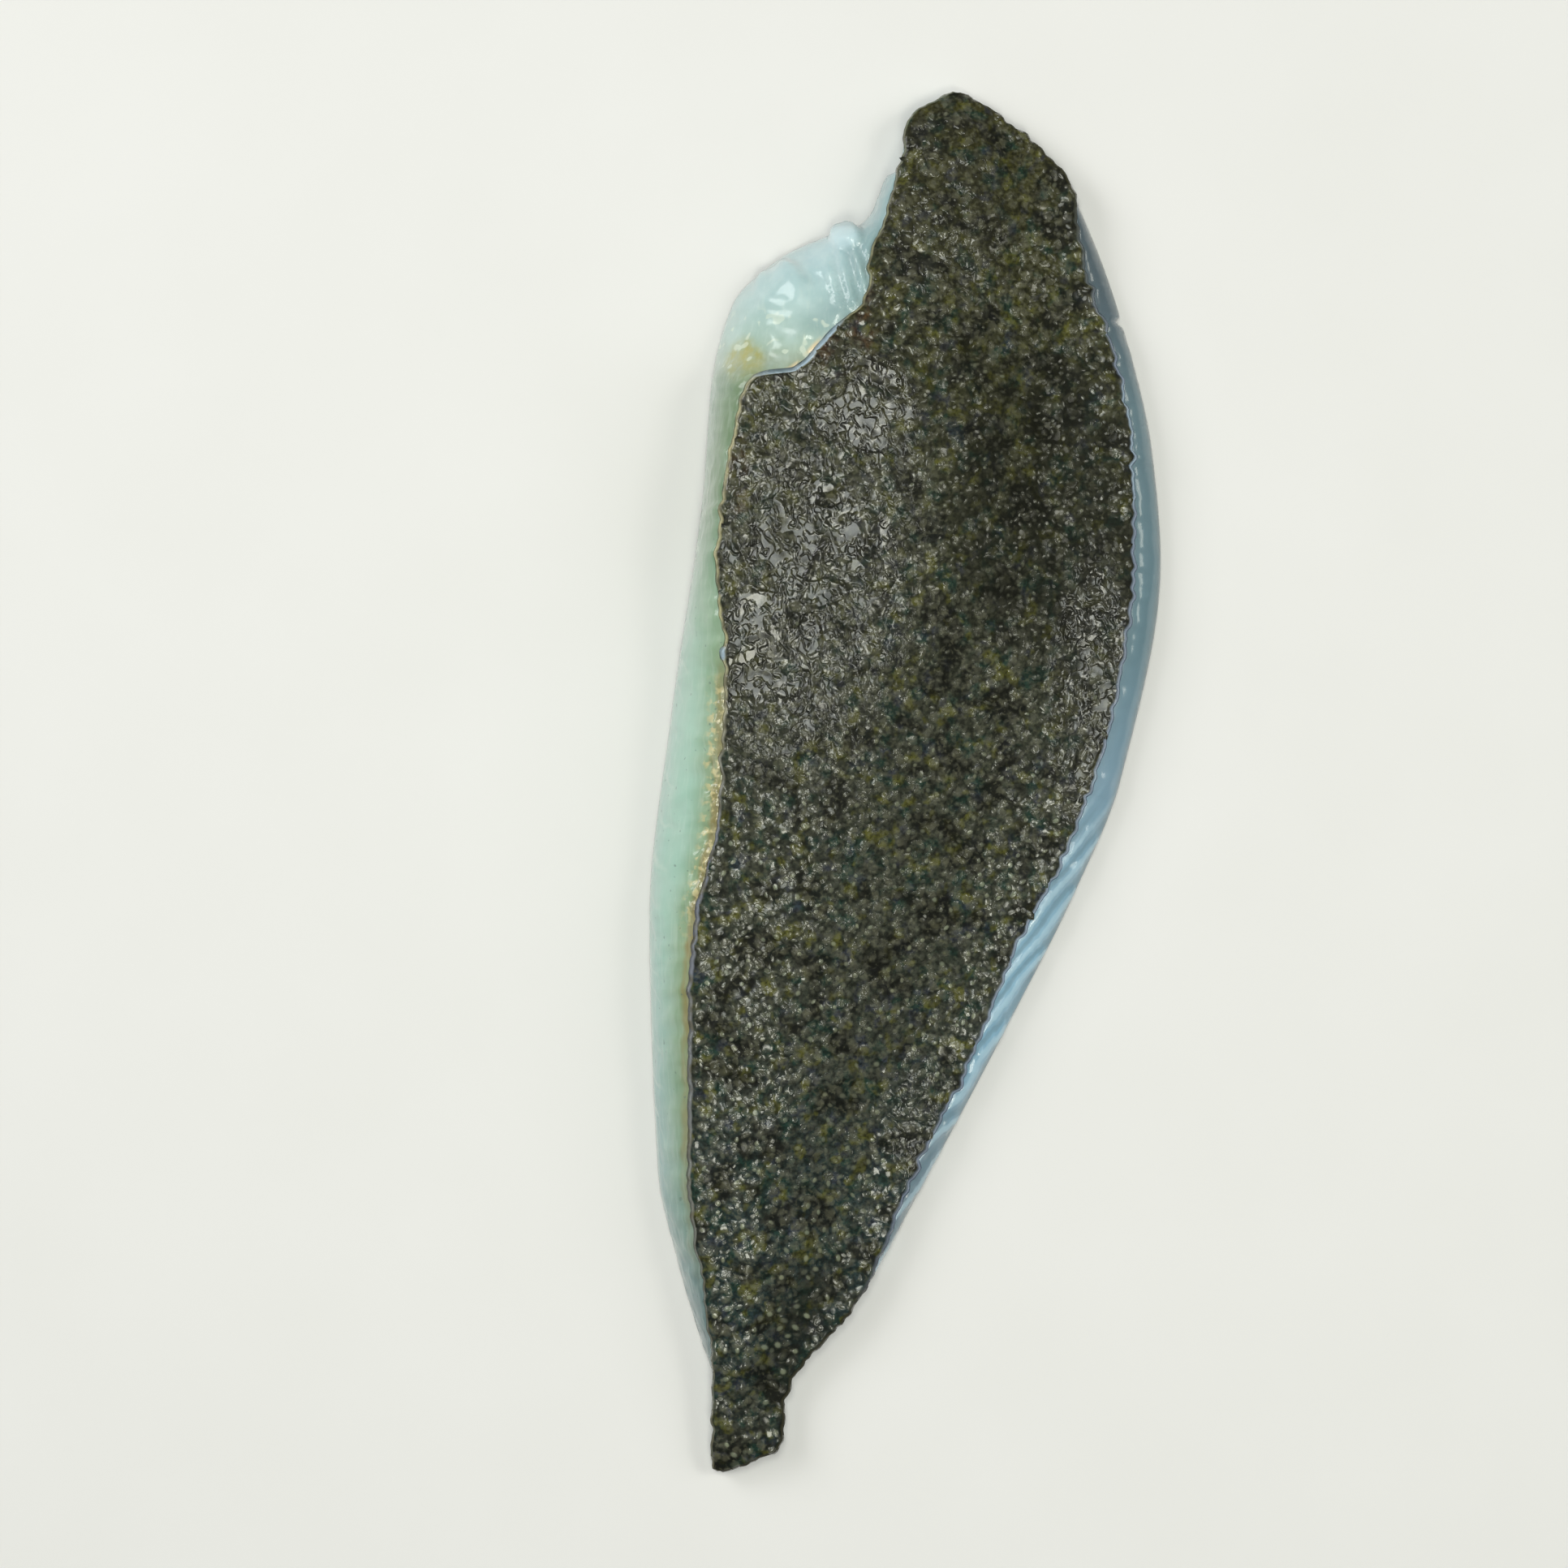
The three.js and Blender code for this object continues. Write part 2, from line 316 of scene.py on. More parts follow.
# Floor and lamps, in metres and watts. A lamp: name, place, target, size, power, tone, and whether
# wet surfaces mirror it.
FLOOR_HALF = 3.0
FLOOR_DROP = 0.0005
FLOOR_TONES = ((226, 226, 224), (230, 230, 229))
WORLD_STRENGTH = 0.14
COOL = (0.95, 1.0, 0.96)
NEUTRAL = (1, 1, 1)
WARM = (1.0, 1.0, 0.88)
LAMPS = (
    ("softbox", (-0.02, 0.15, 1.5), (-0.02, 0.05, 0), (0.42, 0.46), 3.4, COOL, True),
    ("upper_spark", (-0.22, 0.42, 1.45), (0, 0, 0), (0.32, 0.32), 3.8, WARM, True),
    ("lower_spark", (0.12, -0.42, 1.42), (0, 0, 0), (0.34, 0.34), 4.4, WARM, True),
    ("right_spark", (0.9, 0.2, 1.2), (0, 0, 0), (0.36, 0.36), 2.4, WARM, True),
    ("nape_spark", (-1.12, 0.76, 0.76), (-0.024, 0.107, 0.01), (0.66, 0.66), 7, NEUTRAL, True),
    ("left_fill", (-1.2, 0.3, 0.95), (0, 0, 0), (0.9, 0.9), 5, NEUTRAL, False),
    ("right_fill", (1.2, 0.1, 0.95), (0, 0, 0), (0.9, 0.9), 5, NEUTRAL, False),
)


def curve_through(points):
    """A smooth curve through points that never overshoots them."""
    place, value = np.array(points, float).T
    secant = np.diff(value) / np.diff(place)
    same_way = secant[:-1] * secant[1:] > 0
    total = np.where(same_way, secant[:-1] + secant[1:], 1)
    inner = np.where(same_way, 2 * secant[:-1] * secant[1:] / total, 0)
    tangent = np.concatenate([secant[:1], inner, secant[-1:]])

    def at(where):
        i = np.clip(np.searchsorted(place, where) - 1, 0, len(place) - 2)
        span = place[i + 1] - place[i]
        t = np.clip((where - place[i]) / span, 0, 1)
        start = (1 + 2 * t) * (1 - t) ** 2 * value[i] + t * (1 - t) ** 2 * span * tangent[i]
        end = t * t * (3 - 2 * t) * value[i + 1] + t * t * (t - 1) * span * tangent[i + 1]
        return start + end

    return at


backbone_toe = curve_through(BACKBONE_TOE)
fin_toe = curve_through(FIN_TOE)
skin_backbone_edge = curve_through(SKIN_BACKBONE_EDGE)
skin_fin_edge = curve_through(SKIN_FIN_EDGE)
thick_side_height = curve_through(THICK_SIDE_HEIGHT)
thin_side_height = curve_through(THIN_SIDE_HEIGHT)
level_share = curve_through(LEVEL_SHARE)


def smooth_step(value, low, high):
    """A smooth rise from 0 at low to 1 at high."""
    t = np.clip((value - low) / (high - low), 0, 1)
    return t * t * t * (t * (6 * t - 15) + 10)


def noise_field(seed, size, stretch=1.0, spread=0.3):
    """Seeded noise over the plan with features of one size, mean 0 and deviation 1. Stretch lengthens
    the features along Y, and spread widens the range of sizes."""
    rows = round(2 * FIELD_HALF_LENGTH / FIELD_STEP)
    columns = round(2 * FIELD_HALF_WIDTH / FIELD_STEP)
    white = np.random.default_rng(seed).standard_normal((rows, columns))
    along = np.fft.fftfreq(rows, FIELD_STEP)[:, None] * stretch
    across = np.fft.rfftfreq(columns, FIELD_STEP)[None, :]
    pitch = np.maximum(np.hypot(along, across), 1e-6) * size
    band = np.exp(-((np.log(pitch) / spread) ** 2) / 2)
    field = np.fft.irfft2(np.fft.rfft2(white) * band, s=(rows, columns))
    field /= field.std()

    def at(x, y):
        column = np.clip((x + FIELD_HALF_WIDTH) / FIELD_STEP, 0, columns - 1.001)
        row = np.clip((y + FIELD_HALF_LENGTH) / FIELD_STEP, 0, rows - 1.001)
        c = column.astype(int)
        r = row.astype(int)
        u = column - c
        v = row - r
        low = field[r, c] * (1 - u) + field[r, c + 1] * u
        high = field[r + 1, c] * (1 - u) + field[r + 1, c + 1] * u
        return low * (1 - v) + high * v

    return at


wave_noise = noise_field(*WAVE_NOISE)
swell_noise = noise_field(*SWELL_NOISE)
pebble_noise = noise_field(*PEBBLE_NOISE)
lump_noise = noise_field(*LUMP_NOISE)
edge_noise = noise_field(*EDGE_NOISE, spread=0.5)
wet_noise = noise_field(*WET_NOISE, spread=0.5)
fibre_noise = noise_field(*FIBRE_NOISE, stretch=7)
fat_noise = noise_field(*FAT_NOISE, stretch=1.8, spread=0.5)


def flesh_height(x, y):
    """Height of the flesh at a point of its upper side."""
    left = backbone_toe(y)
    across = (x - left) / np.maximum(fin_toe(y) - left, 1)
    fall = smooth_step(across, level_share(y), FALL_END_SHARE)
    height = thick_side_height(y) * (1 - fall) + thin_side_height(y) * fall
    return height + SURFACE_WAVE * wave_noise(x, y)


def patch(x, y, middle, radii, strength):
    """A soft round patch, at its strength in the middle and 0 outside."""
    reach = np.hypot((x - middle[0]) / radii[0], (y - middle[1]) / radii[1])
    return strength * (1 - smooth_step(reach, 0.5, 1.0))


def strongest(x, y, patches):
    """The strongest of several soft patches at a point."""
    return np.maximum.reduce([patch(x, y, *each) for each in patches])


def wetness(x, y):
    """Where a film of water fills the pebbled skin, 0 to 1."""
    uneven = WET_MEAN + PATCH_UNEVENNESS * wet_noise(x, y)
    return np.clip(strongest(x, y, WET_PATCHES) * uneven, 0, 1)


def rustiness(x, y):
    """Where the skin is stained brown: by the notch and along the backbone edge below it."""
    return strongest(x, y, RUST_PATCHES)


def painted_shade_at(x, y):
    """Where shade is painted on the skin: over the fall to the fin side, which faces away from the
    lamps, on the tail and above the middle.
    """
    uneven = PAINTED_SHADE_MEAN + PATCH_UNEVENNESS * wet_noise(x, y)
    return strongest(x, y, PAINTED_SHADE_PATCHES) * np.clip(uneven, 0, 1)


def skin_relief(x, y):
    """Relief of the skin: pebbles and lumps, flatter where it is wet."""
    dry = 1 - wetness(x, y)
    pebbles = (PEBBLE_RELIEF[0] + PEBBLE_RELIEF[1] * dry) * pebble_noise(x, y)
    lumps = (LUMP_RELIEF[0] + LUMP_RELIEF[1] * dry) * lump_noise(x, y)
    return pebbles + lumps + SWELL_RELIEF * swell_noise(x, y)


def relief_share(x, y):
    """Relief of the skin, 0 in hollows to 1 on heights."""
    return np.clip(0.5 + RELIEF_GAIN * skin_relief(x, y), 0, 1)


def row_ends(curve, places, rows):
    """Points (x, y) along an edge where rows end, evenly spaced between matched places."""
    found = [np.array([[curve(places[0]), places[0]]])]
    for low, high, share in zip(places, places[1:], ROW_SHARES):
        y = np.linspace(low, high, EDGE_SAMPLES)
        x = curve(y)
        length = np.concatenate([[0], np.cumsum(np.hypot(np.diff(x), np.diff(y)))])
        stops = np.linspace(0, length[-1], round(rows * share) + 1)[1:]
        found.append(np.stack([np.interp(stops, length, x), np.interp(stops, length, y)], 1))
    return np.concatenate(found)


def outward(line, side):
    """Unit normals of an edge in plan, pointing to the left (side -1) or to the right (side 1)."""
    run = np.gradient(line, axis=0)
    run /= np.maximum(np.linalg.norm(run, axis=1, keepdims=True), 1e-9)
    return side * np.stack([run[:, 1], -run[:, 0]], 1)


def round_end(line, tip, reach):
    """Draws the points of an edge in towards a rounded end of the fillet."""
    middle, place = tip
    share = np.clip((line[:, 1] - place) / reach, 0, 0.98)
    line[:, 0] = middle + (line[:, 0] - middle) * np.sqrt(1 - share**4)


def edge_lines(rows):
    """The two toes of the flesh and, between them, the two edges of the skin, slightly uneven."""
    left_toe = row_ends(backbone_toe, BACKBONE_PLACES, rows)
    left = row_ends(skin_backbone_edge, BACKBONE_PLACES, rows)
    right = row_ends(skin_fin_edge, FIN_PLACES, rows)
    right_toe = row_ends(fin_toe, FIN_PLACES, rows)
    left[:, 0] = np.maximum(left[:, 0], backbone_toe(left[:, 1]))
    right[:, 0] = np.minimum(right[:, 0], fin_toe(right[:, 1]))
    x, y = left.T
    ragged = FINE_RAGGEDNESS * edge_noise(x, y) + BROAD_RAGGEDNESS * swell_noise(x, y)
    ragged *= 1 - patch(x, y, *CLEAN_EDGE_PATCH)
    left += outward(left, -1) * ragged[:, None]
    right += outward(right, 1) * FIN_RAGGEDNESS * edge_noise(right[:, 0], right[:, 1])[:, None]
    for line in (left_toe, left, right, right_toe):
        round_end(line, HEAD_TIP, HEAD_TIP_REACH)
        round_end(line, TAIL_TIP, -TAIL_TIP_REACH)
    return left_toe, left, right, right_toe


def spread(start, end, shares):
    """Rows of points from a start line to an end line, at these shares of the way."""
    return start[:, None, :] * (1 - shares)[None, :, None] + end[:, None, :] * shares[None, :, None]


def raise_plan(plan, height):
    """Points in space from points in plan and their heights."""
    return np.concatenate([plan, height[..., None]], -1)


def rounded_side(toe, edge, steps, bulge):
    """A rounded side from a toe on the ground up to an edge: (rows, steps + 1, 3) points."""
    angle = np.linspace(0, np.pi / 2, steps + 1)
    plan = spread(toe, edge, 1 - np.cos(angle) ** (2 / bulge[0]))
    height = flesh_height(edge[:, 0], edge[:, 1])[:, None] * np.sin(angle) ** (2 / bulge[1])
    return raise_plan(plan, height)


def grid_normals(points):
    along = np.gradient(points, axis=0)
    across = np.gradient(points, axis=1)
    normal = np.cross(across, along)
    return normal / np.maximum(np.linalg.norm(normal, axis=2, keepdims=True), 1e-9)


def loop_faces(rows, size):
    """Four-sided faces round closed loops of points, row after row."""
    start = np.arange(rows - 1)[:, None] * size
    near = np.arange(size)[None, :]
    far = (near + 1) % size
    quads = np.stack([start + near, start + far, start + size + far, start + size + near], 2)
    return quads.reshape(-1, 4).tolist()


def end_fans(rows, size):
    """Triangles that close the first and the last loop round two centre points added at the end."""
    near = np.arange(size)
    far = (near + 1) % size
    last = (rows - 1) * size
    centre = rows * size
    tail = np.stack([np.full(size, centre), far, near], 1)
    head = np.stack([np.full(size, centre + 1), last + near, last + far], 1)
    return np.concatenate([tail, head]).tolist()


def closed_loops(loops):
    """Points and faces of a closed solid through loops of points, (rows, size, 3)."""
    rows, size, _ = loops.shape
    points = np.concatenate([loops.reshape(-1, 3), loops[[0, -1]].mean(1)])
    return points, loop_faces(rows, size) + end_fans(rows, size)


def loop_values(rows, counts, values):
    """One value for each point of closed loops, from one array or number for each zone of a loop."""
    zones = [np.broadcast_to(value, (rows, count)) for value, count in zip(values, counts)]
    joined = np.concatenate(zones, 1)
    return np.concatenate([joined.reshape(-1), joined[[0, -1]].mean(1)])


def make_piece(name, points, faces, material, attributes):
    """A smooth-shaded mesh piece in metres, with its named values for each point."""
    mesh = bpy.data.meshes.new(name)
    mesh.from_pydata((points * MM).tolist(), [], faces)
    mesh.shade_smooth()
    for key, values in attributes.items():
        mesh.attributes.new(key, "FLOAT", "POINT").data.foreach_set("value", values.astype(np.float32))
    mesh.materials.append(material)
    piece = bpy.data.objects.new(name, mesh)
    bpy.context.scene.collection.objects.link(piece)
    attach(piece, "root")
    return piece


def nape_detail(x, y):
    """Folds of muscle, a swelling and a small lump on the bare nape."""
    fold_place = FOLD_DIRECTION[0] * x + FOLD_DIRECTION[1] * y - FOLD_OFFSET
    folds = np.cos(2 * np.pi * fold_place / FOLD_PITCH) * patch(x, y, *NAPE_FOLDS)
    swelling = patch(x, y, *NAPE_SWELLING) * (1 + SWELLING_UNEVENNESS * swell_noise(x, y))
    return folds + swelling + patch(x, y, *NAPE_LUMP) + NAPE_ROUGHNESS * lump_noise(x, y)


def fat_mask(y, gap):
    """Where the crumbly fat lies on the cut face: a band along the skin edge of the middle third."""
    band = 1 - smooth_step(gap, *FAT_REACH)
    return band * smooth_step(y, *FAT_START) * (1 - smooth_step(y, *FAT_END))


def rim_bands(x, y):
    """Slanting bands of the fin muscles on the tail half of the rim, -1 to 1."""
    slant = RIM_BAND_DIRECTION[0] * x + RIM_BAND_DIRECTION[1] * y
    waver = 1.1 * wave_noise(x, y) + 0.2 * fibre_noise(x, y)
    return np.cos(2 * np.pi * slant / RIM_BAND_PITCH + waver) * smooth_step(-y, *RIM_BAND_START)


def underside_height(x, y):
    """Shallow grooves between the muscle segments of the boned side, which rests on its lands."""
    left = backbone_toe(y)
    share = np.clip((x - left) / np.maximum(fin_toe(y) - left, 1), 0, 1)
    bent = y + MUSCLE_BEND * (share - 0.45) ** 2 + MUSCLE_WAVER * wave_noise(x, y)
    groove = np.exp(-((np.sin(np.pi * bent / MUSCLE_PITCH) / GROOVE_WIDTH) ** 2))
    middle_line = np.exp(-(((share - MIDDLE_LINE_SHARE) / MIDDLE_LINE_WIDTH) ** 2))
    inside = smooth_step(share, 0.02, 0.15) * (1 - smooth_step(share, 0.85, 0.98))
    return inside * np.maximum(GROOVE_DEPTH * groove, MIDDLE_LINE_DEPTH * middle_line)


def cut_face(left_toe, left):
    """The rounded backbone cut face, its share of the way up and its distance from the skin edge."""
    face = rounded_side(left_toe, left, CUT_FACE_COLUMNS, CUT_FACE_BULGE)
    up = np.linspace(0, 1, CUT_FACE_COLUMNS + 1)[None, :]
    x, y, z = np.moveaxis(face, 2, 0)
    gap = np.linalg.norm(face[..., :2] - left[:, None], axis=2)
    detail = nape_detail(x, y) + FIBRE_RELIEF * fibre_noise(x + 2 * z, y)
    detail += FACE_SWELL_RELIEF * swell_noise(x, y)
    detail += FAT_CRUMB_HEIGHT * fat_noise(x, y) * fat_mask(y, gap)
    free = smooth_step(up, 0, 0.25) * (1 - smooth_step(up, 0.93, 1.0))
    return face + grid_normals(face) * (detail * free)[..., None], up, gap


def fin_rim(right_toe, right):
    """The rounded fin rim from the skin edge down, and its share of the way down."""
    rim = rounded_side(right_toe, right, FIN_RIM_COLUMNS, FIN_RIM_BULGE)[:, ::-1]
    down = np.linspace(0, 1, FIN_RIM_COLUMNS + 1)[None, :]
    x, y, _ = np.moveaxis(rim, 2, 0)
    detail = RIM_BAND_HEIGHT * rim_bands(x, y) + RIM_SWELL_RELIEF * swell_noise(x, y)
    free = smooth_step(down, 0, 0.15) * (1 - smooth_step(down, 0.7, 1.0))
    return rim + grid_normals(rim) * (detail * free)[..., None], down


def make_flesh(material):
    """The wedge of muscle: cut face, top under the skin, fin rim and underside in closed loops."""
    left_toe, left, right, right_toe = edge_lines(FLESH_ROWS)
    right_toe[:, 0] -= NICK_DEPTH * np.exp(-(((right_toe[:, 1] - NICK_PLACE) / NICK_WIDTH) ** 2))
    face, up, gap = cut_face(left_toe, left)
    rim, down = fin_rim(right_toe, right)
    hidden = spread(left, right, np.linspace(0, 1, HIDDEN_COLUMNS + 1)[1:-1])
    hidden = raise_plan(hidden, flesh_height(hidden[..., 0], hidden[..., 1]))
    under = spread(right_toe, left_toe, np.linspace(0, 1, UNDERSIDE_COLUMNS + 1)[1:-1])
    under = raise_plan(under, underside_height(under[..., 0], under[..., 1]))

    loops = np.concatenate([face, hidden, rim, under], 1)
    points, faces = closed_loops(loops)
    counts = [zone.shape[1] for zone in (face, hidden, rim, under)]
    x, y, _ = np.moveaxis(face, 2, 0)
    zones = {
        "up_face": (up, 1, 1 - down, 0),
        "gap": (gap, 0, NO_EDGE_GAP, NO_EDGE_GAP),
        "fat": (fat_mask(y, gap), 0, 0, 0),
        "nape": (smooth_step(y, *NAPE_START), 0, 0, 0),
        "stain": (patch(x, y, *STAIN_PATCH), 0, 0, 0),
        # painted highlight on the nape's lump
        "lump": (patch(x, y, *LUMP_HIGHLIGHT_PATCH), 0, 0, 0),
        "rim": (0, 0, 1, 0),
        "band": (0, 0, rim_bands(rim[..., 0], rim[..., 1]), 0),
        "underside": (0, 0, 0, 1),
    }
    attributes = {key: loop_values(len(loops), counts, values) for key, values in zones.items()}
    piece = make_piece("fillet_flesh", points, faces, material, attributes)
    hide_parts("flesh")


def skin_foot(line, side, reach):
    """The lower edge of the skin's cut side, a little outside its upper edge and sunk in the flesh."""
    foot = line + outward(line, side) * reach[:, None]
    return raise_plan(foot, flesh_height(line[:, 0], line[:, 1]) - SKIN_FOOT_SINK)[:, None]


def skin_surface(plan, from_edge):
    """The upper side of the skin, rolled down and smoother at its edges."""
    x, y = np.moveaxis(plan, 2, 0)
    keep = EDGE_RELIEF_SHARE + (1 - EDGE_RELIEF_SHARE) * smooth_step(from_edge, 0, EDGE_RELIEF_WIDTH)
    rolled = EDGE_ROLL * (1 - smooth_step(from_edge, 0, EDGE_ROLL_WIDTH))
    return raise_plan(plan, flesh_height(x, y) + SKIN_LIFT - rolled + keep * skin_relief(x, y))


def make_skin(material):
    """The sheet of skin: cut edge, upper side, other cut edge and lower side in closed loops."""
    _, left, right, _ = edge_lines(SKIN_ROWS)
    plan = spread(left, right, np.linspace(0, 1, SKIN_COLUMNS + 1))
    x, y = np.moveaxis(plan, 2, 0)
    from_left = np.linalg.norm(plan - left[:, None], axis=2)
    from_edge = np.minimum(from_left, np.linalg.norm(plan - right[:, None], axis=2))
    fin_side = from_left > from_edge
    torn = strongest(left[:, 0], left[:, 1], TORN_PATCHES)
    top = skin_surface(plan, from_edge)
    bared = smooth_step(left[:, 1], *BARED_START) * (1 - smooth_step(left[:, 1], *BARED_END))
    left_foot = skin_foot(left, -1, BACKBONE_SLANT + BARED_SLANT * bared + TORN_SLANT * torn)
    right_foot = skin_foot(right, 1, np.full(len(right), FIN_SLANT))
    back = spread(right, left, np.linspace(0.01, 0.99, SKIN_BACK_COLUMNS))
    back = raise_plan(back, flesh_height(back[..., 0], back[..., 1]) + SKIN_BACK_LIFT)

    loops = np.concatenate([left_foot, top, right_foot, back], 1)
    points, faces = closed_loops(loops)
    counts = [zone.shape[1] for zone in (left_foot, top, right_foot, back)]
    tint_width = np.where(fin_side, FIN_TINT_WIDTH, BACKBONE_TINT_WIDTH)
    edge = 1 - smooth_step(from_edge, 0, tint_width)
    zones = {
        "edge": (1, edge, 1, 1),
        "fin_side": (0, fin_side, 1, 0.5),
        "torn": (torn[:, None], torn[:, None] * edge, 0, 0),
        "relief": (0, relief_share(x, y), 0, 0),
        "wet": (0, wetness(x, y), 0, 0),
        "rust": (0, rustiness(x, y), 0, 0),
        "painted_shade": (0, painted_shade_at(x, y), 0, 0),
    }
    attributes = {key: loop_values(len(loops), counts, values) for key, values in zones.items()}
    piece = make_piece("fillet_skin", points, faces, material, attributes)
    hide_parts("skin")


def scattered(kind):
    """Seeded points inside the skin on a shaken triangular grid, and the generator."""
    rng = np.random.default_rng(kind["seed"])
    spacing = kind["spacing"]
    y = np.arange(-HALF_LENGTH, HALF_LENGTH, spacing * PEBBLE_ROW_PITCH)
    x = np.arange(-PEBBLE_HALF_WIDTH, PEBBLE_HALF_WIDTH, spacing)
    grid_x, grid_y = np.meshgrid(x, y)
    grid_x = grid_x + spacing / 2 * (np.arange(len(y))[:, None] % 2)
    shake = rng.uniform(-PEBBLE_SHAKE, PEBBLE_SHAKE, (2,) + grid_x.shape) * spacing
    px = (grid_x + shake[0]).ravel()
    py = (grid_y + shake[1]).ravel()
    inside = (px > skin_backbone_edge(py) + kind["margin"]) & (px < skin_fin_edge(py) - kind["margin"])
    inside &= np.abs(py) < HALF_LENGTH - PEBBLE_END_MARGIN
    return px[inside], py[inside], rng


def draw_sizes(rng, kind, growth):
    """Random width, height, stretch and turn of each pebble of a kind."""
    count = len(growth)
    width = rng.uniform(*kind["width"], count) * growth
    height = width * rng.uniform(*kind["height"], count)
    stretch = rng.uniform(1.0, kind["stretch"], count)
    turn = rng.uniform(0, np.pi, count)
    return width, height, stretch, turn


def dome_faces(sides, rings):
    """Faces of one dome: rings of points from the foot up, then a tip."""
    tip = sides * rings
    faces = []
    for i in range(sides):
        j = (i + 1) % sides
        for low in range(0, tip - sides, sides):
            high = low + sides
            faces += [[low + i, low + j, high + j], [low + i, high + j, high + i]]
        faces.append([tip - sides + i, tip - sides + j, tip])
    return np.array(faces)


def make_domes(name, x, y, sizes, tint, kind, material):
    """Many small domes on the skin as one piece."""
    width, height, stretch, turn = sizes
    sides = kind["sides"]
    reach = np.array(kind["rings"])
    angle = np.arange(sides) * 2 * np.pi / sides
    local_x = np.append(np.outer(reach, np.cos(angle)), 0)
    local_y = np.append(np.outer(reach, np.sin(angle)), 0)
    profile = np.append(np.repeat((1 - reach**2) ** PEBBLE_POWER, sides), 1)
    long = local_x[None] * (width * stretch / 2)[:, None]
    short = local_y[None] * (width / stretch / 2)[:, None]
    px = x[:, None] + long * np.cos(turn)[:, None] - short * np.sin(turn)[:, None]
    py = y[:, None] + long * np.sin(turn)[:, None] + short * np.cos(turn)[:, None]
    top = flesh_height(px, py) + SKIN_LIFT + skin_relief(px, py)
    pz = top - PEBBLE_SINK + profile[None] * (height + PEBBLE_SINK)[:, None]
    points = np.stack([px, py, pz], 2).reshape(-1, 3)
    size = len(profile)
    faces = dome_faces(sides, len(reach))[None] + (np.arange(len(x)) * size)[:, None, None]
    attributes = {
        "tint": np.repeat(tint, size),
        "tip": np.tile(profile, len(x)),
        "relief": relief_share(px, py).ravel(),
        "wet": wetness(px, py).ravel(),
        "rust": rustiness(px, py).ravel(),
        "painted_shade": painted_shade_at(px, py).ravel(),
    }
    make_piece(name, points, faces.reshape(-1, 3).tolist(), material, attributes)


def make_granules(material):
    """Low grains of the skin, fewer where it is wet and towards the tail."""
    x, y, rng = scattered(GRANULES)
    coarse = smooth_step(-y, -70, 40)
    bare = np.maximum(1.2 * wetness(x, y), 0.6 * smooth_step(-y, 80, 115))
    keep = rng.uniform(size=len(x)) > np.maximum(bare, 0.35 * coarse)
    sizes = draw_sizes(rng, GRANULES, 1 + 0.25 * coarse[keep])
    tint = 0.15 * rng.uniform(0, 1, keep.sum()) ** 4
    make_domes("skin_granules", x[keep], y[keep], sizes, tint, GRANULES, material)


def make_tubercles(material):
    """Larger bony bumps, more and larger towards the tail, and few where the skin is wet."""
    x, y, rng = scattered(TUBERCLES)
    coarse = smooth_step(-y, -60, 40)
    keep = rng.uniform(size=len(x)) < (0.25 + 0.6 * coarse) * (1 - 0.9 * wetness(x, y))
    growth = 1 + 0.2 * coarse + 0.2 * smooth_step(-y, 80, 120)
    sizes = draw_sizes(rng, TUBERCLES, growth[keep])
    tint = (0.25 + 0.25 * coarse[keep]) * rng.uniform(0, 1, keep.sum()) ** 3
    make_domes("skin_tubercles", x[keep], y[keep], sizes, tint, TUBERCLES, material)


def linear(tone):
    """A display colour, 0 to 255, as linear light. A node's output stays as it is."""
    if isinstance(tone, bpy.types.NodeSocket):
        return tone
    share = np.array(tone) / 255
    light = np.where(share <= 0.04045, share / 12.92, ((share + 0.055) / 1.055) ** 2.4)
    return (*light.tolist(), 1.0)


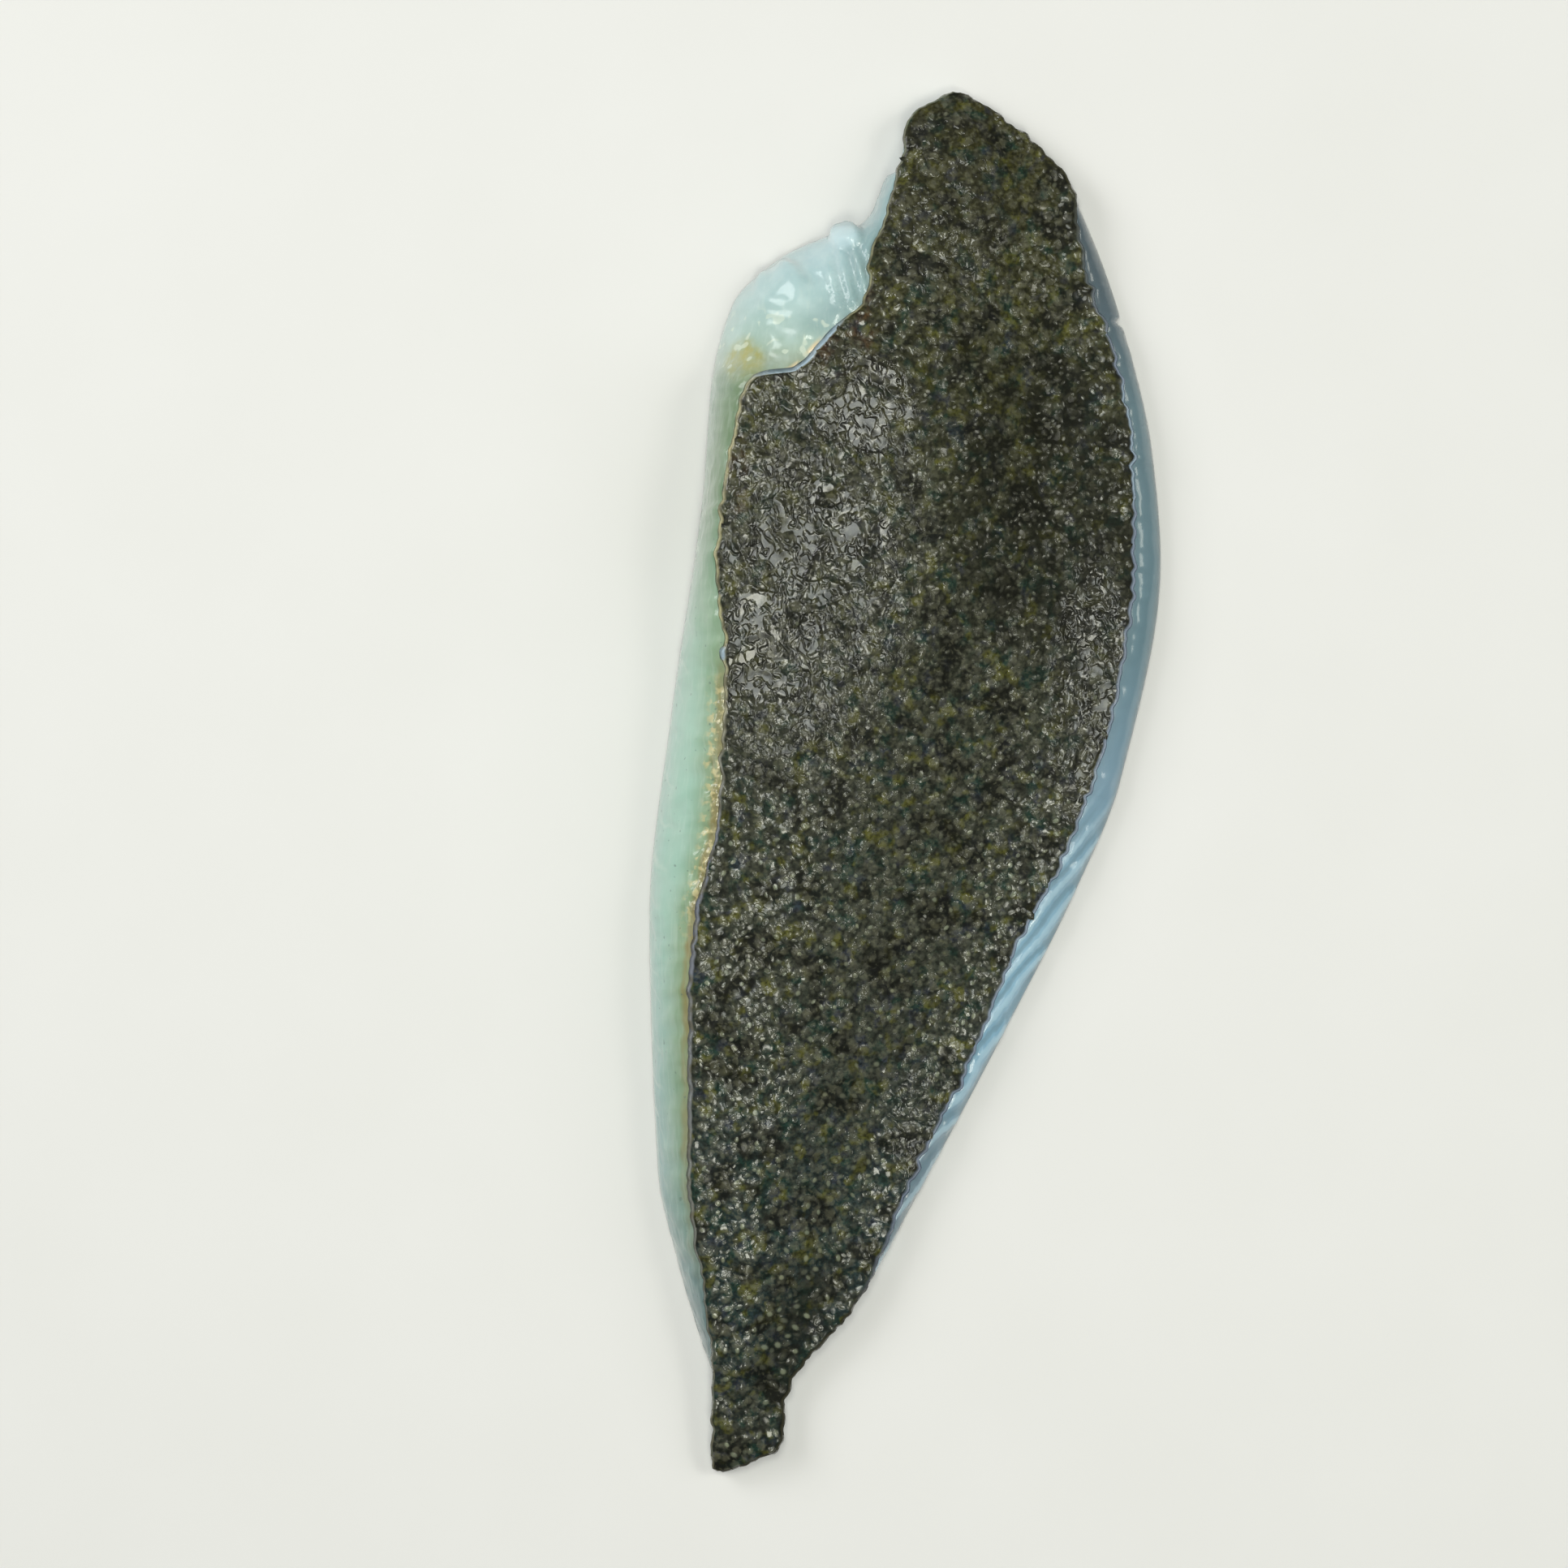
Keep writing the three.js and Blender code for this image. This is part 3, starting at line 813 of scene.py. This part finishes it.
class Nodes:
    """A material's node tree, with short calls for the nodes that are used here."""

    def __init__(self, name):
        self.material = bpy.data.materials.new(name)
        self.material.use_nodes = True
        self.tree = self.material.node_tree
        self.shader = self.tree.nodes["Principled BSDF"]
        self.place = self.add("TexCoord").outputs["Object"]
        y = self.add("SeparateXYZ", Vector=self.place).outputs["Y"]
        self.along = self.step(y, -HALF_LENGTH * MM, HALF_LENGTH * MM, smooth=False)

    def feed(self, socket, value):
        """Links an output to a socket, or sets the socket's own value."""
        if isinstance(value, bpy.types.NodeSocket):
            self.tree.links.new(value, socket)
        else:
            socket.default_value = value

    def fill(self, node, values):
        """Feeds a node's inputs by name: underscores stand for spaces."""
        for key, value in values.items():
            self.feed(node.inputs[key.replace("_", " ")], value)

    def add(self, kind, **values):
        node = self.tree.nodes.new("ShaderNode" + kind)
        self.fill(node, values)
        return node

    def read(self, name):
        node = self.add("Attribute")
        node.attribute_name = name
        return node.outputs["Fac"]

    def noise(self, size, detail=2.0, shift=0.0, stretch=(1, 1, 1), distortion=0.0):
        """Noise with features of a size in millimetres, 0 to 1."""
        mapping = self.add("Mapping", Vector=self.place, Location=(shift, shift, shift), Scale=stretch)
        place = mapping.outputs["Vector"]
        scale = 1 / (size * MM)
        node = self.add("TexNoise", Vector=place, Scale=scale, Detail=detail, Distortion=distortion)
        return node.outputs[0]

    def cells(self, size, warp):
        """Rounded cells of a size in millimetres with bent sides: height, 1 in the middle and 0 between
        the cells, and a random value for each cell."""
        scale = 1 / (size * MM)
        bend = self.add("TexNoise", Vector=self.place, Scale=scale).outputs["Color"]
        shifted = self.add("VectorMath")
        shifted.operation = "MULTIPLY_ADD"
        for socket, value in zip(shifted.inputs, (bend, (warp * MM, warp * MM, 0), self.place)):
            self.feed(socket, value)
        node = self.add("TexVoronoi", Vector=shifted.outputs[0], Scale=scale)
        node.voronoi_dimensions = "2D"
        draw = self.add("SeparateXYZ", Vector=node.outputs["Color"]).outputs["X"]
        reach = self.math("DIVIDE", node.outputs["Distance"], CELL_REACH)
        height = self.math("SUBTRACT", 1.0, self.times(reach, reach))
        return self.math("MAXIMUM", height, 0.0), draw

    def step(self, value, low, high, start=0.0, end=1.0, smooth=True):
        """A value spread from start to end between low and high."""
        node = self.add("MapRange", Value=value, From_Min=low, From_Max=high, To_Min=start, To_Max=end)
        node.interpolation_type = "SMOOTHSTEP" if smooth else "LINEAR"
        return node.outputs["Result"]

    def math(self, operation, first, second=0.0):
        node = self.add("Math")
        node.operation = operation
        self.feed(node.inputs[0], first)
        self.feed(node.inputs[1], second)
        return node.outputs[0]

    def times(self, *factors):
        result = factors[0]
        for factor in factors[1:]:
            result = self.math("MULTIPLY", result, factor)
        return result

    def mix(self, share, first, second):
        """A share of the second colour over the first, each an output or a display colour."""
        node = self.add("Mix")
        node.data_type = "RGBA"
        self.feed(node.inputs[0], share)
        self.feed(node.inputs[6], linear(first))
        self.feed(node.inputs[7], linear(second))
        return node.outputs[2]

    def paint(self, base, *layers):
        """A colour under layers, (share, colour), from the lowest up."""
        for share, tone in layers:
            base = self.mix(share, base, tone)
        return base

    def stops(self, value, stops):
        """Linear light through stops, (place, light), as a value goes from 0 to 1."""
        node = self.add("ValToRGB", Fac=value)
        elements = node.color_ramp.elements
        while len(elements) < len(stops):
            elements.new(0.5)
        for element, (place, light) in zip(elements, stops):
            element.position = place
            element.color = light
        return node.outputs["Color"]

    def ramp(self, stops):
        """A colour along the fillet through stops, (place, display colour)."""
        return self.stops(self.along, [(place, linear(tone)) for place, tone in stops])

    def profile(self, value, stops):
        """A number through stops, (place, number), as a value goes from 0 to 1."""
        return self.stops(value, [(place, (number, number, number, 1)) for place, number in stops])

    def bump(self, height):
        """A normal bent by a height in millimetres."""
        return self.add("Bump", Distance=MM, Height=height).outputs["Normal"]

    def set(self, **values):
        self.fill(self.shader, values)


def skin_pebbles(nodes):
    """Height of the skin's small pebbles, 0 to 1, each with a height of its own."""
    cap, draw = nodes.cells(SKIN_CELL_SIZE, SKIN_CELL_WARP)
    return nodes.times(cap, nodes.step(draw, 0, 1, 0.25, 1, smooth=False))


def bare_patches(nodes):
    """Where the skin is smoother and darker, 0 to 1."""
    return nodes.step(nodes.noise(8, shift=1.21), 0.5, 0.62)


def mottled_skin(nodes):
    """Olive, teal and slate mottling, dark on bare patches and brown or wet in places."""
    pale = nodes.step(nodes.noise(2.6), 0.45, 0.75)
    greyness = nodes.profile(nodes.along, SKIN_GREYNESS)
    base = nodes.mix(nodes.times(pale, greyness), nodes.ramp(SKIN_TONES), SKIN_PALE)
    for tone, size, shift, low, high, strength in SKIN_MOTTLES:
        mottle = nodes.step(nodes.noise(size, shift=shift), low, high, 0, strength)
        base = nodes.mix(mottle, base, tone)
    brown = nodes.step(nodes.noise(3, shift=0.45), 0.4, 0.7, 0, 0.6)
    return nodes.paint(
        base,
        (nodes.times(bare_patches(nodes), 0.85), SKIN_BARE),
        (nodes.times(nodes.read("rust"), brown), SKIN_RUST),
        (nodes.times(nodes.read("wet"), 0.7), SKIN_WET),
    )


def skin_colour(nodes, pebbles):
    """Mottled skin with painted highlight on lumps and pebble tops, which are also paler of their own,
    and painted shade between the pebbles and on the shaded patches.
    """
    fine = nodes.noise(0.9, 1, shift=1.43)
    return nodes.paint(
        mottled_skin(nodes),
        # painted highlight on the heights of the relief
        (nodes.step(nodes.read("relief"), 0.5, 0.9, 0, 0.3), SKIN_LUMP_HIGHLIGHT),
        # fine random mottling, darker and lighter
        (nodes.step(fine, 0.36, 0.5, 0.5, 0), SKIN_DARK_AND_SHADE),
        (nodes.step(fine, 0.54, 0.7, 0, 0.32), SKIN_LIGHT_AND_HIGHLIGHT),
        # painted shade between the pebbles, and pebble tops paler: partly their own tone, partly painted
        # highlight
        (nodes.step(pebbles, 0, 0.3, 0.36, 0), SKIN_DARK_AND_SHADE),
        (nodes.step(pebbles, 0.35, 0.9, 0, 0.32), SKIN_LIGHT_AND_HIGHLIGHT),
        # painted shade over the fall to the fin side, the tail and above the middle
        (nodes.times(nodes.read("painted_shade"), 0.72), SKIN_PAINTED_SHADE),
    )


def pebble_strength(nodes, bare, smooth):
    """How far the small pebbles stand out, less on bare and smooth skin, where shade is painted, and by
    the tail.
    """
    return nodes.times(
        nodes.step(nodes.noise(7, 1, shift=0.95), 0.35, 0.65, 0.5, 1.3),
        nodes.step(bare, 0, 1, 1, 0.5),
        nodes.step(nodes.read("painted_shade"), 0, 1, 1, 0.65),
        nodes.profile(nodes.along, TAIL_CALM),
        nodes.step(smooth, 0, 1, 1, 0),
    )


def film_relief(nodes, wet):
    """Heights in millimetres of the wet film's wrinkles and of the winding creases in it."""
    depth = nodes.profile(wet, WRINKLE_DEPTH)
    wrinkle = nodes.times(nodes.noise(3.2, 0, shift=0.4, distortion=0.3), depth)
    worm = nodes.noise(2.1, 0, shift=0.17, stretch=(1.2, 0.85, 1), distortion=0.5)
    from_crease = nodes.math("ABSOLUTE", nodes.math("SUBTRACT", worm, 0.5))
    broken = nodes.step(nodes.noise(3.0, 1, shift=0.7), 0.36, 0.5)
    crease = nodes.times(nodes.step(from_crease, 0, 0.15), broken, nodes.profile(wet, CREASE_DEPTH))
    return wrinkle, crease


def skin_finish(nodes, base, pebbles, smooth):
    """Wrinkled skin that water levels and makes glossy, and elsewhere dull skin with moist pebble tops.
    Smooth is where it has no small relief of its own, 0 to 1."""
    wet = nodes.read("wet")
    bare = bare_patches(nodes)
    height = nodes.step(wet, 0.2, 0.7, SKIN_CELL_HEIGHT, 0)
    pebble = nodes.times(pebbles, pebble_strength(nodes, bare, smooth), height)
    wrinkle, crease = film_relief(nodes, wet)
    surface = nodes.bump(nodes.math("ADD", nodes.math("ADD", pebble, wrinkle), crease))
    dull = nodes.math("MAXIMUM", bare, nodes.times(nodes.read("painted_shade"), 0.85))
    tops = nodes.times(nodes.step(pebbles, 0.3, 0.55), nodes.step(dull, 0, 1, 1, 0.2))
    film = nodes.step(wet, 0, 0.65, 0, 0.98)
    moist = nodes.math("MAXIMUM", film, nodes.math("MAXIMUM", tops, smooth))
    nodes.set(
        Base_Color=base, Normal=surface, Roughness=0.6, Specular_IOR_Level=0.1,
        Coat_Weight=moist, Coat_Normal=surface, Coat_Roughness=0.17, Coat_IOR=1.52,
    )


def skin_edge_colour(nodes):
    """The skin's cut edge: olive, grey and cream by the backbone, lavender by the fin, pale if torn."""
    return nodes.paint(
        nodes.ramp(BACKBONE_EDGE_TONES),
        (nodes.step(nodes.noise(3.5, shift=0.75), 0.4, 0.65, 0, 0.8), FADED_EDGE),
        (nodes.read("fin_side"), nodes.ramp(FIN_EDGE_TONES)),
        (nodes.read("torn"), TORN_EDGE),
    )


def skin_material():
    nodes = Nodes("fish_skin")
    pebbles = skin_pebbles(nodes)
    base = nodes.mix(nodes.read("edge"), skin_colour(nodes, pebbles), skin_edge_colour(nodes))
    skin_finish(nodes, base, pebbles, 0.0)
    return nodes.material


def pebble_material():
    """The same skin on granules and tubercles, with paler and smoother tips."""
    nodes = Nodes("fish_skin_pebbles")
    pebbles = skin_pebbles(nodes)
    tip = nodes.read("tip")
    pale = nodes.times(nodes.read("tint"), nodes.step(tip, 0.5, 1.0))
    base = nodes.paint(
        skin_colour(nodes, pebbles),
        (nodes.step(tip, 0.2, 1.0, 0, 0.2), PEBBLE_TIP),
        (pale, nodes.mix(nodes.noise(7, shift=0.9), *PALE_PEBBLE_TONES)),
    )
    skin_finish(nodes, base, pebbles, nodes.step(tip, 0.4, 0.8, 0, 0.8))
    return nodes.material


def muscle_lines(nodes):
    """Faint broken lines between the muscle segments, aslant up the cut face, 0 to 1."""
    lean = nodes.times(nodes.read("up_face"), 2.2)
    bend = nodes.times(nodes.noise(16, shift=0.5), 2.4)
    straight = nodes.times(nodes.along, FACE_LINE_COUNT)
    place = nodes.math("ADD", straight, nodes.math("ADD", lean, bend))
    from_middle = nodes.math("ABSOLUTE", nodes.math("SUBTRACT", nodes.math("FRACT", place), 0.5))
    broken = nodes.step(nodes.noise(6, shift=0.28), 0.35, 0.6, 0.25, 1)
    return nodes.times(nodes.step(from_middle, 0.38, 0.49), broken)


def add_fat(nodes, base, gap):
    """Adds the fat line under the skin edge, crumbs of fat and a few dark specks."""
    broken = nodes.step(nodes.noise(2.4, stretch=(1, 0.3, 1)), 0.3, 0.6, 0.45, 1)
    strength = nodes.profile(nodes.along, FAT_LINE_STRENGTH)
    crumbly = nodes.step(nodes.noise(1.6, shift=0.6), 0.5, 0.66, 0, 0.9)
    return nodes.paint(
        base,
        (nodes.times(nodes.step(gap, 1.4, 2.6, 1, 0), strength, broken), FAT_LINE),
        (nodes.times(nodes.read("fat"), crumbly), FAT_CRUMBS),
        (nodes.step(nodes.noise(1.1, 0, shift=0.33), 0.79, 0.84, 0, 0.55), FACE_SPECKS),
    )


def cut_face_colour(nodes):
    """Mint flesh, paler at its foot and warmer towards the skin, with fat under the skin edge."""
    gap = nodes.read("gap")
    up_face = nodes.read("up_face")
    faint = nodes.step(up_face, 0.25, 0.55, 0.3, 0)
    warmth = nodes.profile(nodes.along, FACE_WARMTH)
    base = nodes.paint(
        nodes.ramp(FACE_TONES),
        (nodes.step(up_face, 0.1, 0.6, 0.5, 0), nodes.ramp(OUTER_FACE_TONES)),
        (nodes.step(up_face, 0.05, 0.35, 0.4, 0), FACE_FOOT),
        (nodes.times(muscle_lines(nodes), faint), FACE_LINES),
        (nodes.times(nodes.step(gap, 1.0, 8.0, 1, 0), warmth), FACE_WARM),
    )
    return add_fat(nodes, base, gap)


def nape_colour(nodes):
    """Blue-white muscle with painted shade next to the skin edge and a painted highlight on the lump,
    olive and cream where it meets the notch.
    """
    gap = nodes.read("gap")
    # painted shade next to the skin edge on the upper nape
    shade_by_skin = nodes.times(nodes.step(gap, 2.0, 10.0, 0.75, 0), nodes.step(nodes.along, 0.81, 0.84))
    patchy = nodes.step(nodes.noise(3, shift=0.36), 0.3, 0.65, 0.35, 0.95)
    low = nodes.step(nodes.along, 0.83, 0.85, 1, 0)
    by_notch = nodes.times(nodes.step(gap, 1.2, 2.2, 1, 0), nodes.step(nodes.along, 0.81, 0.826, 1, 0))
    return nodes.paint(
        nodes.ramp(NAPE_TONES),
        (nodes.step(nodes.noise(5, shift=0.2), 0.4, 0.7, 0, 0.3), NAPE_CLOUDS),
        (nodes.step(nodes.read("up_face"), 0.08, 0.45, 0.5, 0), NAPE_FOOT),
        (shade_by_skin, NAPE_SHADE_BY_SKIN),
        # painted highlight on the lump
        (nodes.times(nodes.read("lump"), 0.7), NAPE_LUMP_HIGHLIGHT),
        (nodes.times(nodes.read("stain"), patchy), NAPE_STAIN),
        (nodes.times(nodes.step(nodes.noise(2.8, 1, shift=0.64), 0.62, 0.68), low, 0.5), NAPE_SPOTS),
        (nodes.times(by_notch, nodes.step(nodes.noise(2, 1), 0.35, 0.55)), NAPE_CREAM),
    )


def rim_colour(nodes):
    """Blue-grey flesh of the fin rim, with painted shade at its foot and, across its tail half, painted
    highlight on the ridges of the bands and painted shade in their grooves.
    """
    return nodes.paint(
        nodes.ramp(RIM_TONES),
        # painted shade at the foot of the rim
        (nodes.step(nodes.read("up_face"), 0.1, 0.5, 0.6, 0), RIM_FOOT_SHADE),
        # painted highlight on the ridges of the bands and painted shade in their grooves
        (nodes.step(nodes.read("band"), 0.1, 0.9, 0, 0.45), RIM_BAND_LIGHT),
        (nodes.step(nodes.read("band"), -0.2, -0.9, 0, 0.4), RIM_BAND_SHADE),
    )


def flesh_material():
    """Moist, slightly translucent flesh, with its own colours on each side of the fillet."""
    nodes = Nodes("fish_flesh")
    fibres = nodes.noise(0.9, 1, stretch=(1, 0.12, 1))
    fibrous = nodes.step(nodes.read("rim"), 0, 1, 1, 0)
    base = nodes.paint(
        cut_face_colour(nodes),
        (nodes.step(nodes.noise(7, 3), 0.3, 0.75, 0, 0.12), FLESH_CLOUDS),
        (nodes.read("nape"), nape_colour(nodes)),
        (nodes.read("rim"), rim_colour(nodes)),
        (nodes.read("underside"), nodes.mix(nodes.noise(9, 3, shift=0.4), *UNDERSIDE_TONES)),
        (nodes.times(nodes.step(fibres, 0.5, 0.75, 0, 0.1), fibrous), FLESH_FIBRES),
    )
    surface = nodes.bump(nodes.times(fibres, fibrous, FIBRE_BUMP))
    nodes.set(
        Base_Color=base, Normal=surface, Roughness=0.4, IOR=1.4,
        Subsurface_Weight=0.3, Subsurface_Scale=1.5 * MM, Subsurface_Radius=(0.8, 1.0, 1.0),
        Coat_Weight=1.0, Coat_Roughness=0.12, Coat_IOR=1.42,
    )
    return nodes.material


def floor_material():
    nodes = Nodes("pale_floor")
    nodes.set(Base_Color=nodes.mix(nodes.noise(40), *FLOOR_TONES), Roughness=0.7)
    return nodes.material


def make_floor():
    corners = [(x * FLOOR_HALF, y * FLOOR_HALF, 0) for x, y in ((-1, -1), (1, -1), (1, 1), (-1, 1))]
    mesh = bpy.data.meshes.new("floor")
    mesh.from_pydata(corners, [], [(0, 1, 2, 3)])
    mesh.materials.append(floor_material())
    floor = bpy.data.objects.new("floor", mesh)
    bpy.context.scene.collection.objects.link(floor)
    floor.location.z = -FLOOR_DROP


def make_lamp(name, place, target, size, power, tone, mirrored):
    """A soft lamp. Only a mirrored one shows in the wet surfaces."""
    light = bpy.data.lights.new(name, "AREA")
    light.shape = "RECTANGLE"
    light.size, light.size_y = size
    light.energy = power
    light.color = tone
    lamp = bpy.data.objects.new(name, light)
    bpy.context.scene.collection.objects.link(lamp)
    lamp.visible_glossy = mirrored
    lamp.location = place
    lamp.rotation_euler = (Vector(target) - lamp.location).to_track_quat("-Z", "Y").to_euler()


def make_lights():
    world = bpy.data.worlds.new("studio")
    bpy.context.scene.world = world
    world.use_nodes = True
    background = world.node_tree.nodes["Background"]
    background.inputs["Color"].default_value = (1, 1, 1, 1)
    background.inputs["Strength"].default_value = WORLD_STRENGTH
    for lamp in LAMPS:
        make_lamp(*lamp)


def make_camera():
    camera = bpy.data.cameras.new("camera")
    camera.lens = LENS
    camera.sensor_width = SENSOR
    rig = bpy.data.objects.new("camera", camera)
    bpy.context.scene.collection.objects.link(rig)
    distance = FRAME_WIDTH * LENS / SENSOR
    rig.location = (VIEW_CENTRE[0] * MM, VIEW_CENTRE[1] * MM, (VIEW_PLANE_HEIGHT + distance) * MM)
    bpy.context.scene.camera = rig


make_camera()
make_floor()
make_lights()
bpy.context.scene.view_settings.view_transform = "Standard"
make_flesh(flesh_material())
make_skin(skin_material())
pebbles = pebble_material()
make_granules(pebbles)
make_tubercles(pebbles)
